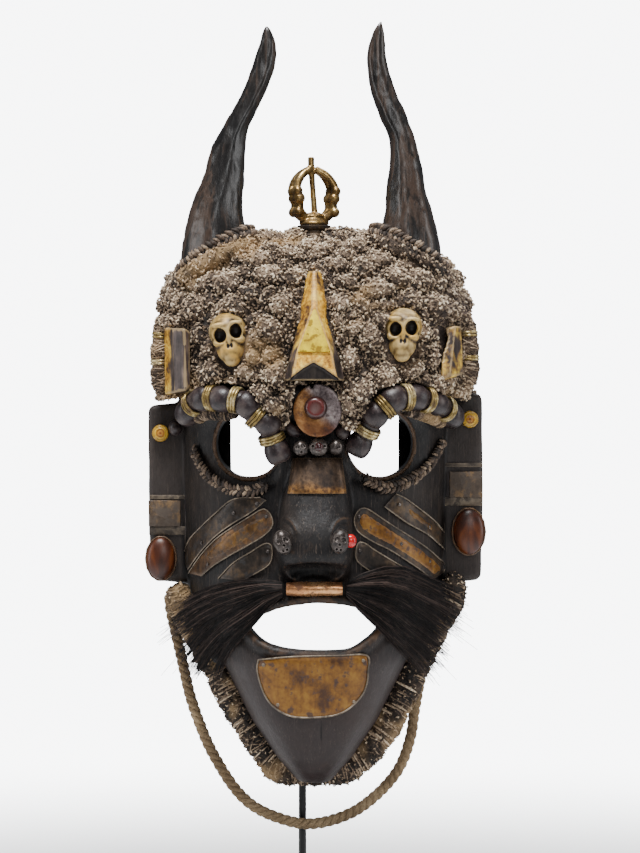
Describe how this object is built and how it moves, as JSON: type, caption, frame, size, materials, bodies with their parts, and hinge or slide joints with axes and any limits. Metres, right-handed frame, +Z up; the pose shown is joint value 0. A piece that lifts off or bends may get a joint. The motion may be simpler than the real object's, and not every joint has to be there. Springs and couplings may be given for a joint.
{
  "type": "dance mask",
  "caption": "Carved wooden horned dance mask with matted hair, bead brows, metal strips, moustache and hanging rope, upright on a rod stand.",
  "frame": {"origin": "centre of the box around the whole object, on the plane its stand rests on", "axes": "+Z up toward the horn tips, +Y from the face to its open back, +X toward the face's own left side, on the right of the front view"},
  "size_m": [0.23, 0.18, 0.6088],
  "materials": {
    "wood": "dark charcoal brown, worn satin patina with fine scratches",
    "horn": "black glossy lacquered wood with grey brown streaks",
    "hair_crust": "matted curly hair stiff with grey brown and cream dust",
    "hair": "straight black hair",
    "brass": "golden ochre, aged, purple brown spots",
    "copper": "copper orange thin sheet, bright on the edges, brown in the hollows",
    "dark_metal": "thin dark brown tarnished sheet with lighter edges",
    "bead": "dark purple brown, satin to glossy",
    "bone": "yellowed carved bone with dark sockets",
    "coral": "dark red coral, polished",
    "amber": "glossy dark amber brown with orange streaks",
    "yellow": "mustard yellow, glossy",
    "silver": "pale grey metal, rubbed",
    "black": "plain black steel, satin",
    "rope": "tan twisted jute, matt"
  },
  "bodies": {
    "root": {"mask_face": "wood", "beard_roll": "hair_crust", "hair_cap": "hair_crust", "bridge_bead_left": "silver", "bridge_bead_left_tube": "bead", "bridge_bead_middle": "silver", "bridge_bead_right": "silver", "bridge_bead_right_end": "bead", "brow_beads_left": "bead", "brow_beads_right": "bead", "brown_bead_left": "bead", "brown_bead_right": "bead", "chin_plate": "brass", "crest_inlay": "brass", "crest_wedge": "copper", "ear_bead_left": "yellow", "ear_bead_right": "yellow", "ear_bezel_left": "dark_metal", "ear_bezel_right": "dark_metal", "ear_stone_left": "amber", "ear_stone_right": "amber", "ear_strap_left": "dark_metal", "ear_strap_right": "dark_metal", "eye_braid_left": "hair_crust", "eye_braid_right": "hair_crust", "horn_braid_left": "hair_crust", "horn_braid_right": "hair_crust", "horn_left": "horn", "horn_right": "horn", "moustache_bar": "copper", "moustache_left": "hair", "moustache_right": "hair", "nose_plate": "copper", "nostril_bead_left": "silver", "nostril_bead_right": "silver", "nostril_coral": "coral", "rope": "rope", "skull_left": "bone", "skull_right": "bone", "stand_base": "black", "stand_rod": "black", "strip_lower_left": "dark_metal", "strip_lower_right": "dark_metal", "strip_middle_left": "copper", "strip_middle_right": "brass", "strip_upper_left": "dark_metal", "strip_upper_right": "dark_metal", "temple_roll_left": "hair_crust", "temple_roll_right": "hair_crust", "temple_wedge_left": "copper", "temple_wedge_right": "copper", "third_eye_disc": "copper", "third_eye_stud": "coral", "vajra": "brass", "vajra_collar": "dark_metal"}
  },
  "joints": []
}
